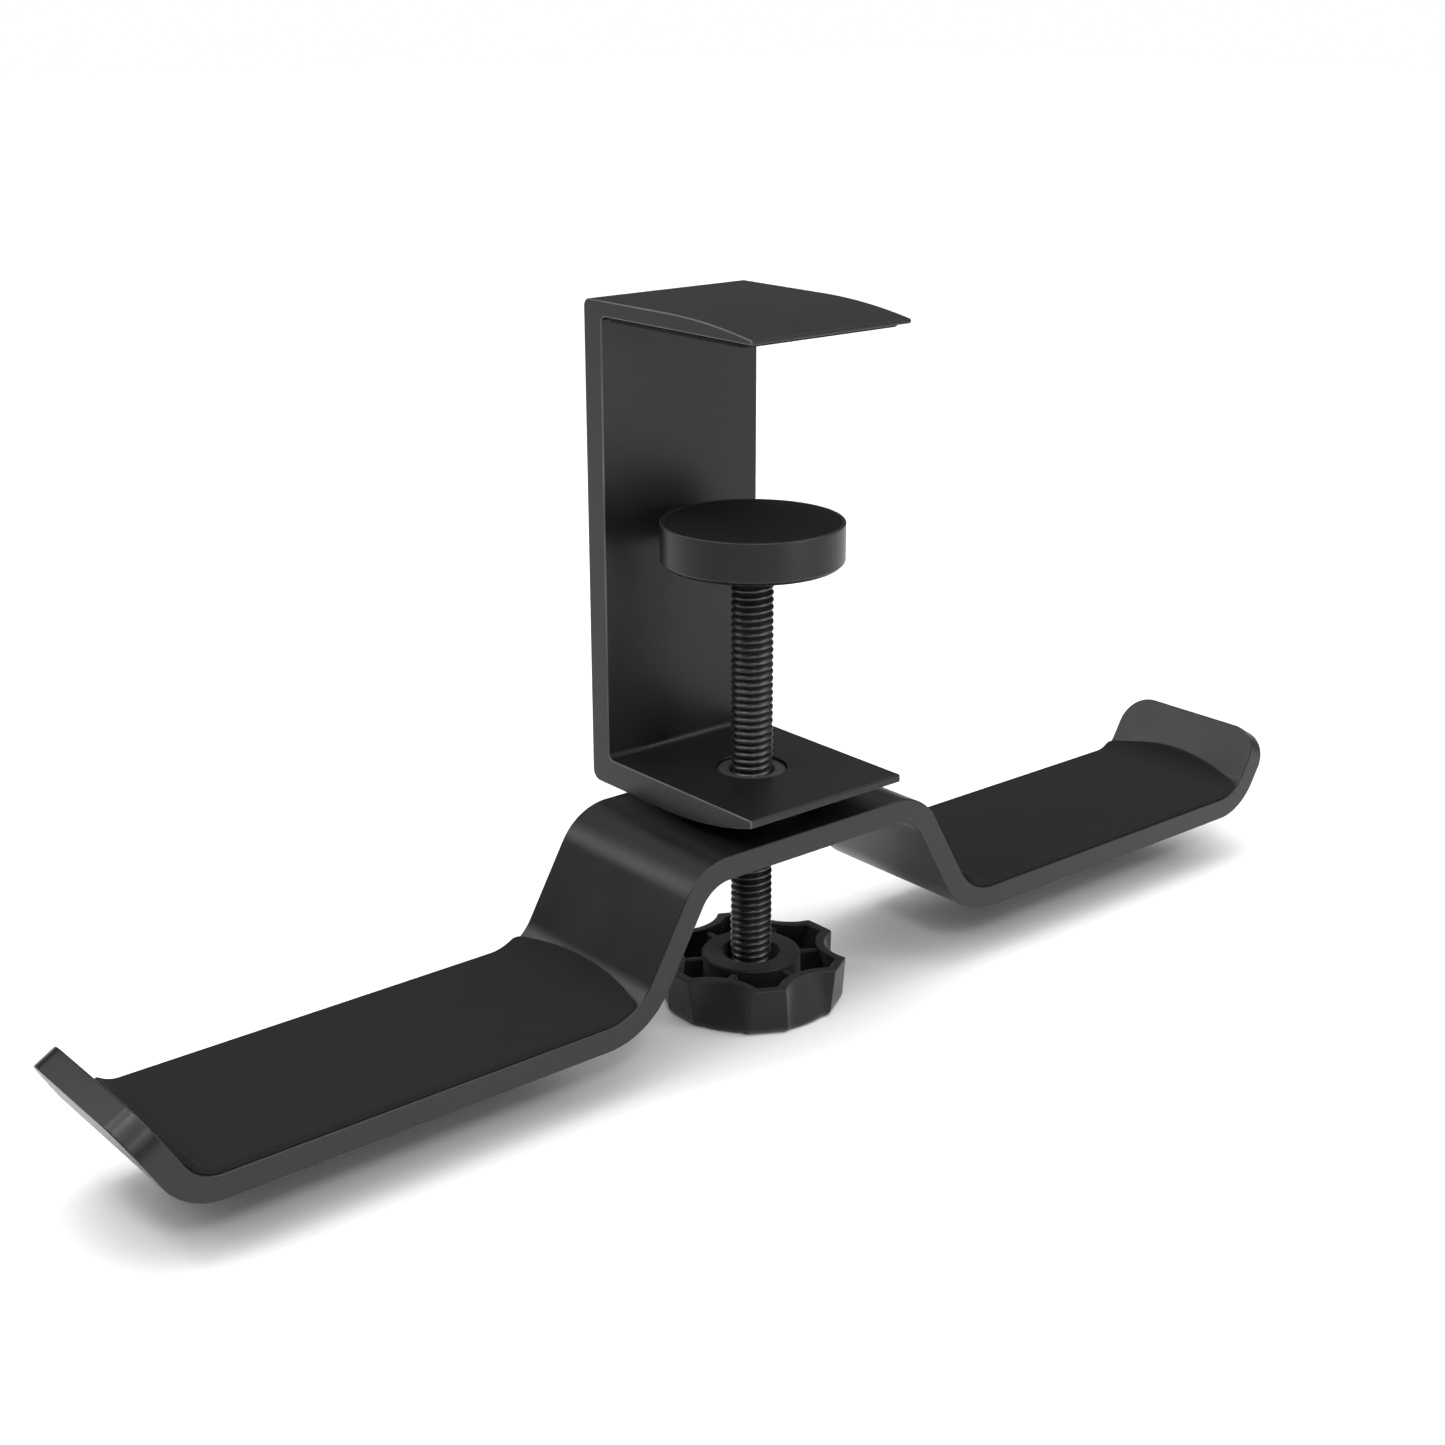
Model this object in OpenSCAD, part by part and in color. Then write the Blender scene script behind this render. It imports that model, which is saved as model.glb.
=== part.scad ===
// Under-desk clamp with a swivelling double headphone hook.
// Frame: origin on the screw's axis, at the face that rests on top of the desk.
// X runs along the hook, the clamp's mouth opens towards -Y, Z is up.

/* [Bar stock] */
// Width of the clamp bracket and of the hook bar
bar_w = 40; // [36:1:44]
// Thickness of the hook bar
bar_t = 5; // [4:0.5:6]

/* [Clamp bracket] */
// Height of the mouth, from the desk seat down to the lower jaw
mouth_h = 90; // [84:1:96]
// From the screw's axis to the inner face of the post
post_y = 22; // [21:0.5:26]
// Thickness of the post
post_t = 5.5; // [4.5:0.5:7]
// Reach of the upper jaw in front of the screw's axis
upper_reach = 22.5; // [20:0.5:30]
// Reach of the lower jaw in front of the screw's axis
lower_reach = 23; // [20:0.5:30]
// Thickness of the upper jaw at the post
upper_root_t = 3.1; // [2.5:0.1:4]
// Thickness of the upper jaw at its tip
upper_tip_t = 0.9; // [0.8:0.1:1.5]
// Thickness of the lower jaw at the post
lower_root_t = 5.7; // [5:0.1:7]
// Thickness of the lower jaw at its tip
lower_tip_t = 1.6; // [1:0.1:2.5]

/* [Rubber] */
// Thickness of the rubber under the upper jaw, with its adhesive film
jaw_pad_t = 0.8; // [0.6:0.1:1.2]
// Thickness of the rubber on the hook's arms, with its adhesive film
arm_pad_t = 1.5; // [1:0.1:2]
// Thickness of every adhesive film
film_t = 0.1; // [0.1:0.05:0.2]

/* [Hook bar] */
// Overall length of the hook, tip to tip
hook_len = 299; // [240:1:320]
// From the middle of the hook to the corner where its leg starts
plate_half = 30; // [28:0.5:34]
// Drop from the hook's top plate to its arms
leg_drop = 27.2; // [24:0.1:32]
// Slope of the legs from horizontal
leg_angle = 60; // [55:1:70]
// Slope of the upturned tips from horizontal
tip_angle = 60; // [50:0.5:65]
// Length of an upturned tip along its inner face
tip_len = 16.2; // [14:0.1:24]
// Radius of the tips' rounded corners
tip_corner_r = 7.5; // [3:0.5:10]

/* [Clamp screw] */
// Outer diameter of the screw thread
screw_d = 8.6; // [7.8:0.1:8.8]
// Rise of the screw for one turn
screw_pitch = 1.5; // [1:0.25:2]
// Diameter of the pressure disc
disc_d = 36.8; // [30:0.1:38]
// Height of the pressure disc
disc_h = 8.8; // [8.6:0.1:11]
// From the desk seat down to the face of the pressure disc
disc_drop = 38.2; // [30:0.1:46]

/* [Knob] */
// Distance across the knob's flats
knob_flats = 39.7; // [36:0.1:44]
// Height of the knob
knob_h = 10.4; // [10.4:0.1:14]
// From the underside of the hook down to the rim of the knob
knob_drop = 29; // [28.8:0.1:40]

/* [Hidden] */
$fn = 96;
film_gap = 0.4;          // how far a film stays inside its pad's edge

// Levels, from the desk seat down
jaw_under = jaw_pad_t;
lower_top = -mouth_h;
lower_under = lower_top - lower_root_t;
swivel_gap = 1.7;
plate_top = lower_under - swivel_gap;
plate_under = plate_top - bar_t;
arm_top = plate_top - leg_drop;
disc_top = -disc_drop;
disc_under = disc_top - disc_h;
knob_top = plate_under - knob_drop;
knob_under = knob_top - knob_h;

// Bends of the hook bar, inner radii
plate_bend = 8;
foot_bend = 12;
tip_bend = 8;

// Corners of the hook bar's upper face, where its straight runs would meet
foot_x = plate_half + leg_drop / tan(leg_angle);
tip_x = hook_len / 2 - tip_len * cos(tip_angle) - bar_t * sin(tip_angle);

// Pads on the arms
pad_w = bar_w - 0.6;
pad_in = foot_x - 2.6;   // inner end on the middle line
pad_out = tip_x + 3.2;   // outer end on the middle line
pad_end_r = 86;          // the ends are flat arcs

// Bush and swivel stack, radii and thicknesses
fit_gap = 0.06;
bore_r = screw_d / 2 + 0.08;
sleeve_r = 6;
flange_r = 7.05;
flange_t = 1.2;
flange_sink = 0.5;
hook_bore_r = 7.2;
bush_flange_r = 13;
thrust_t = 0.8;
wave_t = 1.2;
washer_t = 0.8;
ring_t = 1;
groove_r = 5.4;
stack_gap = 0.05;
thrust_z = plate_under - thrust_t;
wave_z = thrust_z - stack_gap - wave_t;
washer_z = wave_z - washer_t;
ring_z = washer_z - ring_t;
sleeve_under = ring_z - 1;

// Inside of the pressure disc
disc_r = disc_d / 2;
disc_rim = 1;
disc_pad_t = 2.1;
disc_pad_proud = 0.2;
neck_r = 3;
neck_groove_r = 2.4;
clip_t = 0.8;
clip_r = 5.2;
screw_washer_t = 0.8;
shoulder_z = disc_under + 0.8;
screw_washer_z = shoulder_z;
disc_floor_z = shoulder_z + screw_washer_t + stack_gap;
clip_z = disc_floor_z + 2 + stack_gap;
neck_top = clip_z + clip_t + 0.7;

// Inside of the knob
lobes = 6;
knob_wall = 2;
knob_floor = 1.5;
scallop_r = 9.4;
scallop_at = 25.5;
knob_waist_r = scallop_at - scallop_r;
knob_foot_r = 19.2;
knob_foot_edge = 1.4;
knob_rim_r = 20.6;
hub_r = 10.4;
hub_hole_r = 6;
rib_t = 1.5;
rib_drop = 0.9;
web_top = knob_top - 3.8;
web_t = 1.6;
head_af = 13;
head_t = 3.8;
head_z = web_top - web_t - head_t;
cap_r = 9.2;
cap_t = 1;

// Thread
thread_depth = 0.62;
crest_w = 0.45;

// ---- Outline helpers ----

function arc_pts(cx, cy, r, a0, a1, n = 12) =
    [for (i = [0:n]) let (a = a0 + (a1 - a0) * i / n) [cx + r * cos(a), cy + r * sin(a)]];

// One side of the hook's right half, at a height d above the bar's upper face
function bar_line(d) = concat(
    arc_pts(plate_half - (plate_bend + bar_t) * tan(leg_angle / 2),
            plate_top - plate_bend - bar_t, plate_bend + bar_t + d, 90, 90 - leg_angle),
    arc_pts(foot_x + foot_bend * tan(leg_angle / 2),
            arm_top + foot_bend, foot_bend - d, 270 - leg_angle, 270),
    arc_pts(tip_x - tip_bend * tan(tip_angle / 2),
            arm_top + tip_bend, tip_bend - d, 270, 270 + tip_angle),
    [[tip_x + tip_len * cos(tip_angle) - d * sin(tip_angle),
      arm_top + tip_len * sin(tip_angle) + d * cos(tip_angle)]]
);

function reversed(v) = [for (i = [len(v) - 1:-1:0]) v[i]];

// A strip of the right half between two heights above the bar's upper face
module strip(lower, upper, w) {
    rotate([90, 0, 0])
        linear_extrude(w, center = true)
            polygon(concat(
                [[0, plate_top + lower]], bar_line(lower),
                reversed(bar_line(upper)), [[0, plate_top + upper]]));
}

module ring(r_out, r_in, h, z) {
    translate([0, 0, z])
        difference() {
            cylinder(r = r_out, h = h);
            translate([0, 0, -1]) cylinder(r = r_in, h = h + 2);
        }
}

// ---- Clamp ----

function bracket_outline() =
    let (
        jaw_top = jaw_under + upper_root_t,
        post_out = post_y + post_t,
        top_y = 2,
        low_y = 3,
        up_run = upper_reach + top_y,
        up_fall = upper_root_t - upper_tip_t,
        up_r = (up_run * up_run + up_fall * up_fall) / (2 * up_fall),
        low_run = lower_reach + low_y,
        low_rise = lower_root_t - lower_tip_t,
        low_r = (low_run * low_run + low_rise * low_rise) / (2 * low_rise),
        in_r = 1.2,
        top_r = 1,
        low_corner_r = 2
    )
    concat(
        [[-upper_reach, jaw_under]],
        arc_pts(post_y - in_r, jaw_under - in_r, in_r, 90, 0, 6),
        arc_pts(post_y - in_r, lower_top + in_r, in_r, 0, -90, 6),
        [[-lower_reach, lower_top]],
        arc_pts(low_y, lower_under + low_r, low_r, 270 - asin(low_run / low_r), 270, 16),
        arc_pts(post_out - low_corner_r, lower_under + low_corner_r, low_corner_r, -90, 0, 6),
        arc_pts(post_out - top_r, jaw_top - top_r, top_r, 0, 90, 6),
        arc_pts(top_y, jaw_top - up_r, up_r, 90, 90 + asin(up_run / up_r), 16)
    );

module clamp_bracket() {
    color("dimgray")
        difference() {
            rotate([90, 0, 90])
                linear_extrude(bar_w, center = true)
                    polygon(bracket_outline());
            translate([0, 0, lower_under - 1]) cylinder(r = sleeve_r, h = lower_root_t + 2);
            translate([0, 0, lower_top - flange_sink - flange_t]) cylinder(r = flange_r + 0.1, h = 4);
        }
}

module jaw_slab(h, z, inset) {
    front = -upper_reach + 2.4 + inset;
    back = post_y - 1.4 - inset;
    translate([-pad_w / 2 + inset, front, z]) cube([pad_w - 2 * inset, back - front, h]);
}

module jaw_pad() {
    color("black") jaw_slab(jaw_pad_t - film_t, 0, 0);
}

module jaw_pad_film() {
    color("white") jaw_slab(film_t, jaw_pad_t - film_t, film_gap);
}

module threaded_bush() {
    color("silver")
        difference() {
            union() {
                translate([0, 0, sleeve_under])
                    cylinder(r = sleeve_r, h = lower_top - flange_sink - sleeve_under);
                translate([0, 0, lower_top - flange_sink - flange_t])
                    cylinder(r = flange_r, h = flange_t);
            }
            translate([0, 0, sleeve_under - 1])
                cylinder(r = bore_r, h = lower_top - sleeve_under + 2);
            ring(sleeve_r + 1, groove_r, ring_t, ring_z);
        }
}

module wave_spring() {
    color("silver") ring(10, sleeve_r + 0.3, wave_t, wave_z);
}

module retaining_washer() {
    color("silver") ring(10.5, sleeve_r + fit_gap, washer_t, washer_z);
}

// Open ring in the bush's groove, with the gap of a circlip
module retaining_ring() {
    color("dimgray")
        difference() {
            ring(8.3, groove_r, ring_t, ring_z);
            translate([0, -1.5, ring_z - 1]) cube([10, 3, ring_t + 2]);
        }
}

// ---- Hook ----

// Rounds the two corners of the right tip, in the plane of the tip
module tip_corners() {
    translate([tip_x, 0, arm_top])
        rotate([0, -tip_angle, 0])
            for (side = [-1, 1])
                translate([tip_len - tip_corner_r, side * (bar_w / 2 - tip_corner_r), -bar_t - 1])
                    difference() {
                        translate([0, side > 0 ? 0 : -tip_corner_r - 1, 0])
                            cube([tip_corner_r + 1, tip_corner_r + 1, bar_t + 2]);
                        translate([0, 0, -1]) cylinder(r = tip_corner_r, h = bar_t + 4);
                    }
}

module half_bar() {
    difference() {
        strip(-bar_t, 0, bar_w);
        tip_corners();
    }
}

module hook_bar() {
    color("dimgray")
        difference() {
            union() {
                half_bar();
                mirror([1, 0, 0]) half_bar();
            }
            translate([0, 0, plate_under - 1]) cylinder(r = hook_bore_r, h = bar_t + 2);
        }
}

module pivot_bush() {
    flange = swivel_gap - 0.1;
    color("ivory")
        difference() {
            union() {
                translate([0, 0, plate_top]) cylinder(r = bush_flange_r, h = flange);
                translate([0, 0, plate_under]) cylinder(r = hook_bore_r, h = bar_t);
            }
            translate([0, 0, plate_under - 1])
                cylinder(r = sleeve_r + fit_gap, h = bar_t + flange + 2);
        }
}

module thrust_washer() {
    color("ivory") ring(11, sleeve_r + fit_gap, thrust_t, thrust_z);
}

// A layer on the right arm, cut to the pad's rounded ends in plan
module arm_layer(lower, upper, inset) {
    intersection() {
        strip(lower, upper, pad_w - 2 * inset);
        translate([pad_in + inset + pad_end_r, 0, arm_top - 10]) cylinder(r = pad_end_r, h = 40);
        translate([pad_out - inset - pad_end_r, 0, arm_top - 10]) cylinder(r = pad_end_r, h = 40);
    }
}

module arm_pad() {
    arm_layer(film_t, arm_pad_t, 0);
}

module arm_film() {
    arm_layer(0, film_t, film_gap);
}

module hook_pad_right() {
    color("black") arm_pad();
}

module hook_pad_left() {
    color("black") mirror([1, 0, 0]) arm_pad();
}

module hook_pad_film_right() {
    color("white") arm_film();
}

module hook_pad_film_left() {
    color("white") mirror([1, 0, 0]) arm_film();
}

// ---- Pressure disc ----

module pressure_disc() {
    chamfer = 0.8;
    pad_z = disc_top - disc_pad_t - film_t;
    color("dimgray")
        difference() {
            union() {
                translate([0, 0, disc_under])
                    cylinder(r1 = disc_r - chamfer, r2 = disc_r, h = chamfer);
                translate([0, 0, disc_under + chamfer])
                    cylinder(r = disc_r, h = disc_h - chamfer - disc_pad_proud);
            }
            translate([0, 0, pad_z]) cylinder(r = disc_r - disc_rim, h = 4);
            translate([0, 0, disc_floor_z + 2]) cylinder(r = 6, h = disc_h);
            translate([0, 0, disc_under - 1]) cylinder(r = neck_r + fit_gap, h = disc_h);
            translate([0, 0, disc_under - 1]) cylinder(r = 5.6, h = disc_floor_z - disc_under + 1);
        }
}

module disc_pad() {
    color("black")
        translate([0, 0, disc_top - disc_pad_t])
            cylinder(r = disc_r - disc_rim, h = disc_pad_t);
}

module disc_pad_film() {
    color("white")
        translate([0, 0, disc_top - disc_pad_t - film_t])
            cylinder(r = disc_r - disc_rim - film_gap, h = film_t);
}

// ---- Screw and knob ----

// Thread drawn as rings, from the knob's web up to the shoulder
function thread_outline() =
    let (
        r = screw_d / 2,
        root = r - thread_depth,
        flank = (screw_pitch - crest_w) / 2,
        low = web_top,
        turns = floor((shoulder_z - low - crest_w) / screw_pitch)
    )
    concat(
        [[0, low], [r, low]],
        [for (i = [0:turns - 1], p = [[r, crest_w], [root, crest_w + flank], [r, screw_pitch]])
            [p[0], low + i * screw_pitch + p[1]]],
        [[r, shoulder_z], [0, shoulder_z]]
    );

module clamp_screw() {
    color("gray")
        difference() {
            union() {
                rotate_extrude() polygon(thread_outline());
                translate([0, 0, head_z]) cylinder(r = screw_d / 2, h = web_top - head_z);
                translate([0, 0, head_z]) cylinder(r = head_af / sqrt(3), h = head_t, $fn = 6);
                translate([0, 0, shoulder_z]) cylinder(r = neck_r, h = neck_top - shoulder_z);
            }
            ring(neck_r + 1, neck_groove_r, clip_t, clip_z);
        }
}

module screw_washer() {
    color("silver") ring(clip_r, neck_r + fit_gap, screw_washer_t, screw_washer_z);
}

// Open clip in the groove of the screw's neck, inside the pressure disc
module disc_clip() {
    color("dimgray")
        difference() {
            ring(clip_r, neck_groove_r, clip_t, clip_z);
            translate([0, -1.6, clip_z - 1]) cube([clip_r + 1, 3.2, clip_t + 2]);
        }
}

// Prism with flats and scallops, drawn in by a wall
module lobed_prism(wall, h) {
    difference() {
        rotate([0, 0, 180 / lobes])
            cylinder(r = (knob_flats / 2 - wall) / cos(180 / lobes), h = h, $fn = lobes);
        for (k = [0:lobes - 1])
            rotate([0, 0, (k + 0.5) * 360 / lobes])
                translate([scallop_at, 0, -1])
                    cylinder(r = scallop_r + wall, h = h + 2);
    }
}

// The star of the rim, and a cone that fills its scallops towards the round foot
module knob_star(wall, h) {
    lobed_prism(wall, h);
    cylinder(r1 = knob_foot_r - wall, r2 = knob_waist_r - wall, h = knob_h);
}

// Round outside that narrows to the foot
module knob_outside(wall) {
    cylinder(r1 = knob_foot_r - knob_foot_edge - wall, r2 = knob_foot_r - wall, h = knob_foot_edge);
    translate([0, 0, knob_foot_edge])
        cylinder(r1 = knob_foot_r - wall, r2 = knob_rim_r - wall, h = knob_h - knob_foot_edge);
}

module knob_ribs() {
    for (k = [0:lobes - 1])
        rotate([0, 0, (k + 0.5) * 360 / lobes])
            translate([hub_r - 1, -rib_t / 2, 0])
                cube([knob_rim_r - hub_r, rib_t, knob_h - rib_drop]);
}

module knob() {
    color("dimgray")
        difference() {
            translate([0, 0, knob_under]) {
                difference() {
                    intersection() {
                        knob_star(0, knob_h);
                        knob_outside(0);
                    }
                    intersection() {
                        knob_star(knob_wall, knob_h + 2);
                        translate([0, 0, knob_floor]) cylinder(r = knob_rim_r, h = knob_h + 2);
                    }
                }
                cylinder(r = hub_r, h = knob_h);
                intersection() {
                    knob_ribs();
                    knob_star(knob_wall / 2, knob_h);
                    knob_outside(knob_wall / 2);
                }
            }
            translate([0, 0, web_top]) cylinder(r = hub_hole_r, h = 10);
            translate([0, 0, knob_under - 1]) cylinder(r = screw_d / 2, h = knob_h + 2);
            translate([0, 0, head_z - 2]) cylinder(r = head_af / sqrt(3), h = head_t + 2, $fn = 6);
            translate([0, 0, knob_under - 1]) cylinder(r = cap_r, h = cap_t + 1);
        }
}

module knob_lock_ring() {
    color("silver") ring(hub_hole_r - 0.2, screw_d / 2, 0.5, web_top);
}

module knob_cap() {
    color("black")
        translate([0, 0, knob_under])
            cylinder(r = cap_r, h = cap_t);
}

clamp_bracket();
jaw_pad();
jaw_pad_film();
threaded_bush();
wave_spring();
retaining_washer();
retaining_ring();
hook_bar();
pivot_bush();
thrust_washer();
hook_pad_left();
hook_pad_right();
hook_pad_film_left();
hook_pad_film_right();
pressure_disc();
disc_pad();
disc_pad_film();
clamp_screw();
screw_washer();
disc_clip();
knob();
knob_lock_ring();
knob_cap();
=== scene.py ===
import math

import bmesh
import bpy
from mathutils import Matrix, Vector


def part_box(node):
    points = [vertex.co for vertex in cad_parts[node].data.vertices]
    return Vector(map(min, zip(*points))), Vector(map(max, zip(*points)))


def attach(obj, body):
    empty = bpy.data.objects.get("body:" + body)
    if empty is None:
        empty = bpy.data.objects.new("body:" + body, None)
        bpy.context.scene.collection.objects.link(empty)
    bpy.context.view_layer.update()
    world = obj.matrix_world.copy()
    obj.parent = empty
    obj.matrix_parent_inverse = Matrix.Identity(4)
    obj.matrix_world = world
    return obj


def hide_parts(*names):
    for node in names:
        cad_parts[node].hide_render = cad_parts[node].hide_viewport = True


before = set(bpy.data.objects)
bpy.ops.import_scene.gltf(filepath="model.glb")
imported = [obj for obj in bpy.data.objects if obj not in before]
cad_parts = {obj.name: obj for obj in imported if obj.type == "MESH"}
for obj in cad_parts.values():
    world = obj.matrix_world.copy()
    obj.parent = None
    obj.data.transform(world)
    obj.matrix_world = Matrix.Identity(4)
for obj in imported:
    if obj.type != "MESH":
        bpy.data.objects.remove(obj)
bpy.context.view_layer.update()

mm = 0.001               # meshes are worked out in millimetres and stored in metres


# Lowest and highest corner of a CAD node, in millimetres.
def span(node):
    low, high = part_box(node)
    return low / mm, high / mm


# Corners are (x, y, radius), and each becomes an arc that touches both of its sides.
def rounded(corners, steps=5):
    points = []
    for i, (x, y, radius) in enumerate(corners):
        here = Vector((x, y))
        if radius <= 0:
            points.append(here)
            continue
        toLast = (Vector(corners[i - 1][:2]) - here).normalized()
        toNext = (Vector(corners[(i + 1) % len(corners)][:2]) - here).normalized()
        half = toLast.angle(toNext) / 2
        centre = here + (toLast + toNext).normalized() * (radius / math.sin(half))
        spoke = here + toLast * (radius / math.tan(half)) - centre
        side = 1 if toLast.x * toNext.y - toLast.y * toNext.x < 0 else -1
        for k in range(steps + 1):
            turn = Matrix.Rotation(side * (math.pi - 2 * half) * k / steps, 2)
            points.append(centre + turn @ spoke)
    return points


# A counterclockwise outline drawn in by a distance.
def inset(outline, distance):
    moved = []
    for i, point in enumerate(outline):
        before = (point - outline[i - 1]).normalized()
        after = (outline[(i + 1) % len(outline)] - point).normalized()
        normal = Vector((-before.y - after.y, before.x + after.x)).normalized()
        share = max(normal.x * -before.y + normal.y * before.x, 0.5)
        moved.append(point + normal * (distance / share))
    return moved


# Joins loops of equal length into a skin. Its ends are closed by faces ("faces"), joined to each other
# ("ring") or left as they are ("points"). The last argument holds a value for each loop, which marks
# where a painted highlight goes along the rims.
def skin(bm, loops, ends="faces", paintedHighlight=None):
    layer = bm.verts.layers.float.get("paintedHighlight") or bm.verts.layers.float.new("paintedHighlight")
    rows = []
    for i, loop in enumerate(loops):
        row = [bm.verts.new(p) for p in loop]
        for vert in row:
            vert[layer] = paintedHighlight[i] if paintedHighlight else 0.0
        rows.append(row)
    pairs = zip(rows, rows[1:] + rows[:1]) if ends == "ring" else zip(rows, rows[1:])
    for lower, upper in pairs:
        for i in range(len(lower)):
            j = (i + 1) % len(lower)
            bm.faces.new((lower[i], lower[j], upper[j], upper[i]))
    if ends == "faces":
        bm.faces.new(reversed(rows[0]))
        bm.faces.new(rows[-1])


# A slab of an outline between two levels, with rounded rims.
def slab(bm, outline, low, high, edgeLow, edgeHigh, steps=3):
    levels = []
    for edge, level, side in ((edgeLow, low, 1), (edgeHigh, high, -1)):
        turns = [math.pi / 2 * k / steps for k in range(steps + 1)] if edge > 0 else [0]
        rows = []
        for a in turns:
            # the third value marks the rims for a painted highlight, strongest half way round each rim
            rows.append((level + side * edge * (1 - math.sin(a)), edge * (1 - math.cos(a)), math.sin(2 * a)))
        levels += rows[::-1] if side > 0 else rows
    loops = [[(p.x, p.y, z) for p in inset(outline, drawn)] for z, drawn, _ in levels]
    skin(bm, loops, paintedHighlight=[value for _, _, value in levels])


def circleAt(radius, z, steps, start=0.0):
    angles = [start + 2 * math.pi * k / steps for k in range(steps)]
    return [(radius * math.cos(a), radius * math.sin(a), z) for a in angles]


# Turns a closed profile of (radius, height, corner radius) about the upright axis.
def lathe(bm, profile, steps=96, cornerSteps=4):
    points = rounded(profile, cornerSteps)
    paintedHighlight = []
    # rounded corners are marked for a painted highlight, strongest at the middle of each arc
    for corner in profile:
        arc = [math.sin(math.pi * k / cornerSteps) for k in range(cornerSteps + 1)]
        paintedHighlight += arc if corner[2] > 0 else [0.0]
    ends = "points" if profile[0][0] == 0 and profile[-1][0] == 0 else "ring"
    skin(bm, [circleAt(max(p.x, 0.0), p.y, steps) for p in points], ends, paintedHighlight)


# The mesh of an object with its modifiers applied, as a plain mesh.
def evaluatedMesh(obj):
    bpy.context.view_layer.update()
    graph = bpy.context.evaluated_depsgraph_get()
    return bpy.data.meshes.new_from_object(obj.evaluated_get(graph), depsgraph=graph)


def looseObject(bm, name):
    bmesh.ops.remove_doubles(bm, verts=bm.verts, dist=0.0008)
    bmesh.ops.dissolve_degenerate(bm, edges=bm.edges, dist=0.0004)
    bmesh.ops.recalc_face_normals(bm, faces=bm.faces)
    bmesh.ops.scale(bm, vec=(mm, mm, mm), verts=bm.verts)
    mesh = bpy.data.meshes.new(name)
    bm.to_mesh(mesh)
    bm.free()
    obj = bpy.data.objects.new(name, mesh)
    bpy.context.scene.collection.objects.link(obj)
    return obj


# Cuts the cutters out of an object, or joins them to it.
def combine(obj, others, operation):
    for other in others:
        modifier = obj.modifiers.new("combine", "BOOLEAN")
        modifier.operation = operation
        modifier.solver = "EXACT"
        modifier.object = other
    mesh = evaluatedMesh(obj)
    obj.modifiers.clear()
    obj.data = mesh
    for other in others:
        bpy.data.objects.remove(other)


# Shades the piece, gives it its finish, hangs it under its body and hides the CAD nodes that it stands for.
def finishPiece(obj, material, slot, body, *stoodFor, sharp=38, weighted=True):
    obj.data.shade_smooth()
    obj.data.set_sharp_from_angle(angle=math.radians(sharp))
    if weighted:
        obj.modifiers.new("weighted", "WEIGHTED_NORMAL").keep_sharp = True
        mesh = evaluatedMesh(obj)
        obj.modifiers.clear()
        obj.data = mesh
    obj.data.name = obj.name
    obj.data.materials.clear()
    obj.data.materials.append(material)
    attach(obj, body)
    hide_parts(*stoodFor)
    return obj


# A new tree with named inputs. Returns the tree, its input node and each input's identifier.
def newTree(name, inputs):
    tree = bpy.data.node_groups.new(name, "GeometryNodeTree")
    tree.is_modifier = True
    kinds = {"geometry": "NodeSocketGeometry", "float": "NodeSocketFloat", "int": "NodeSocketInt",
             "material": "NodeSocketMaterial"}
    ids = {}
    for label, kind in inputs:
        ids[label] = tree.interface.new_socket(name=label, in_out="INPUT", socket_type=kinds[kind]).identifier
    tree.interface.new_socket(name="Geometry", in_out="OUTPUT", socket_type="NodeSocketGeometry")
    return tree, tree.nodes.new("NodeGroupInput"), ids


# Adds a node, sets its fields and feeds its inputs with values or with other nodes' outputs.
def addNode(tree, kind, inputs=(), **fields):
    node = tree.nodes.new(kind)
    for key, value in fields.items():
        setattr(node, key, value)
    for key, value in dict(inputs).items():
        if isinstance(value, bpy.types.NodeSocket):
            tree.links.new(value, node.inputs[key])
        else:
            node.inputs[key].default_value = value
    return node


def calc(tree, operation, *values):
    return addNode(tree, "ShaderNodeMath", dict(enumerate(values)), operation=operation).outputs[0]


# Runs a tree on an object as a modifier and keeps the result as its plain mesh.
def runTree(obj, tree, ids, values):
    modifier = obj.modifiers.new("tree", "NODES")
    modifier.node_group = tree
    for label, value in values.items():
        modifier[ids[label]] = value
    mesh = evaluatedMesh(obj)
    obj.modifiers.clear()
    obj.data = mesh


# Ends a tree: instances made real, material set.
def closeTree(tree, given, geometry):
    real = addNode(tree, "GeometryNodeRealizeInstances", {0: geometry})
    painted = addNode(tree, "GeometryNodeSetMaterial", {
        "Geometry": real.outputs[0], "Material": given.outputs["Material"]})
    end = tree.nodes.new("NodeGroupOutput")
    tree.links.new(painted.outputs[0], end.inputs[0])


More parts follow.
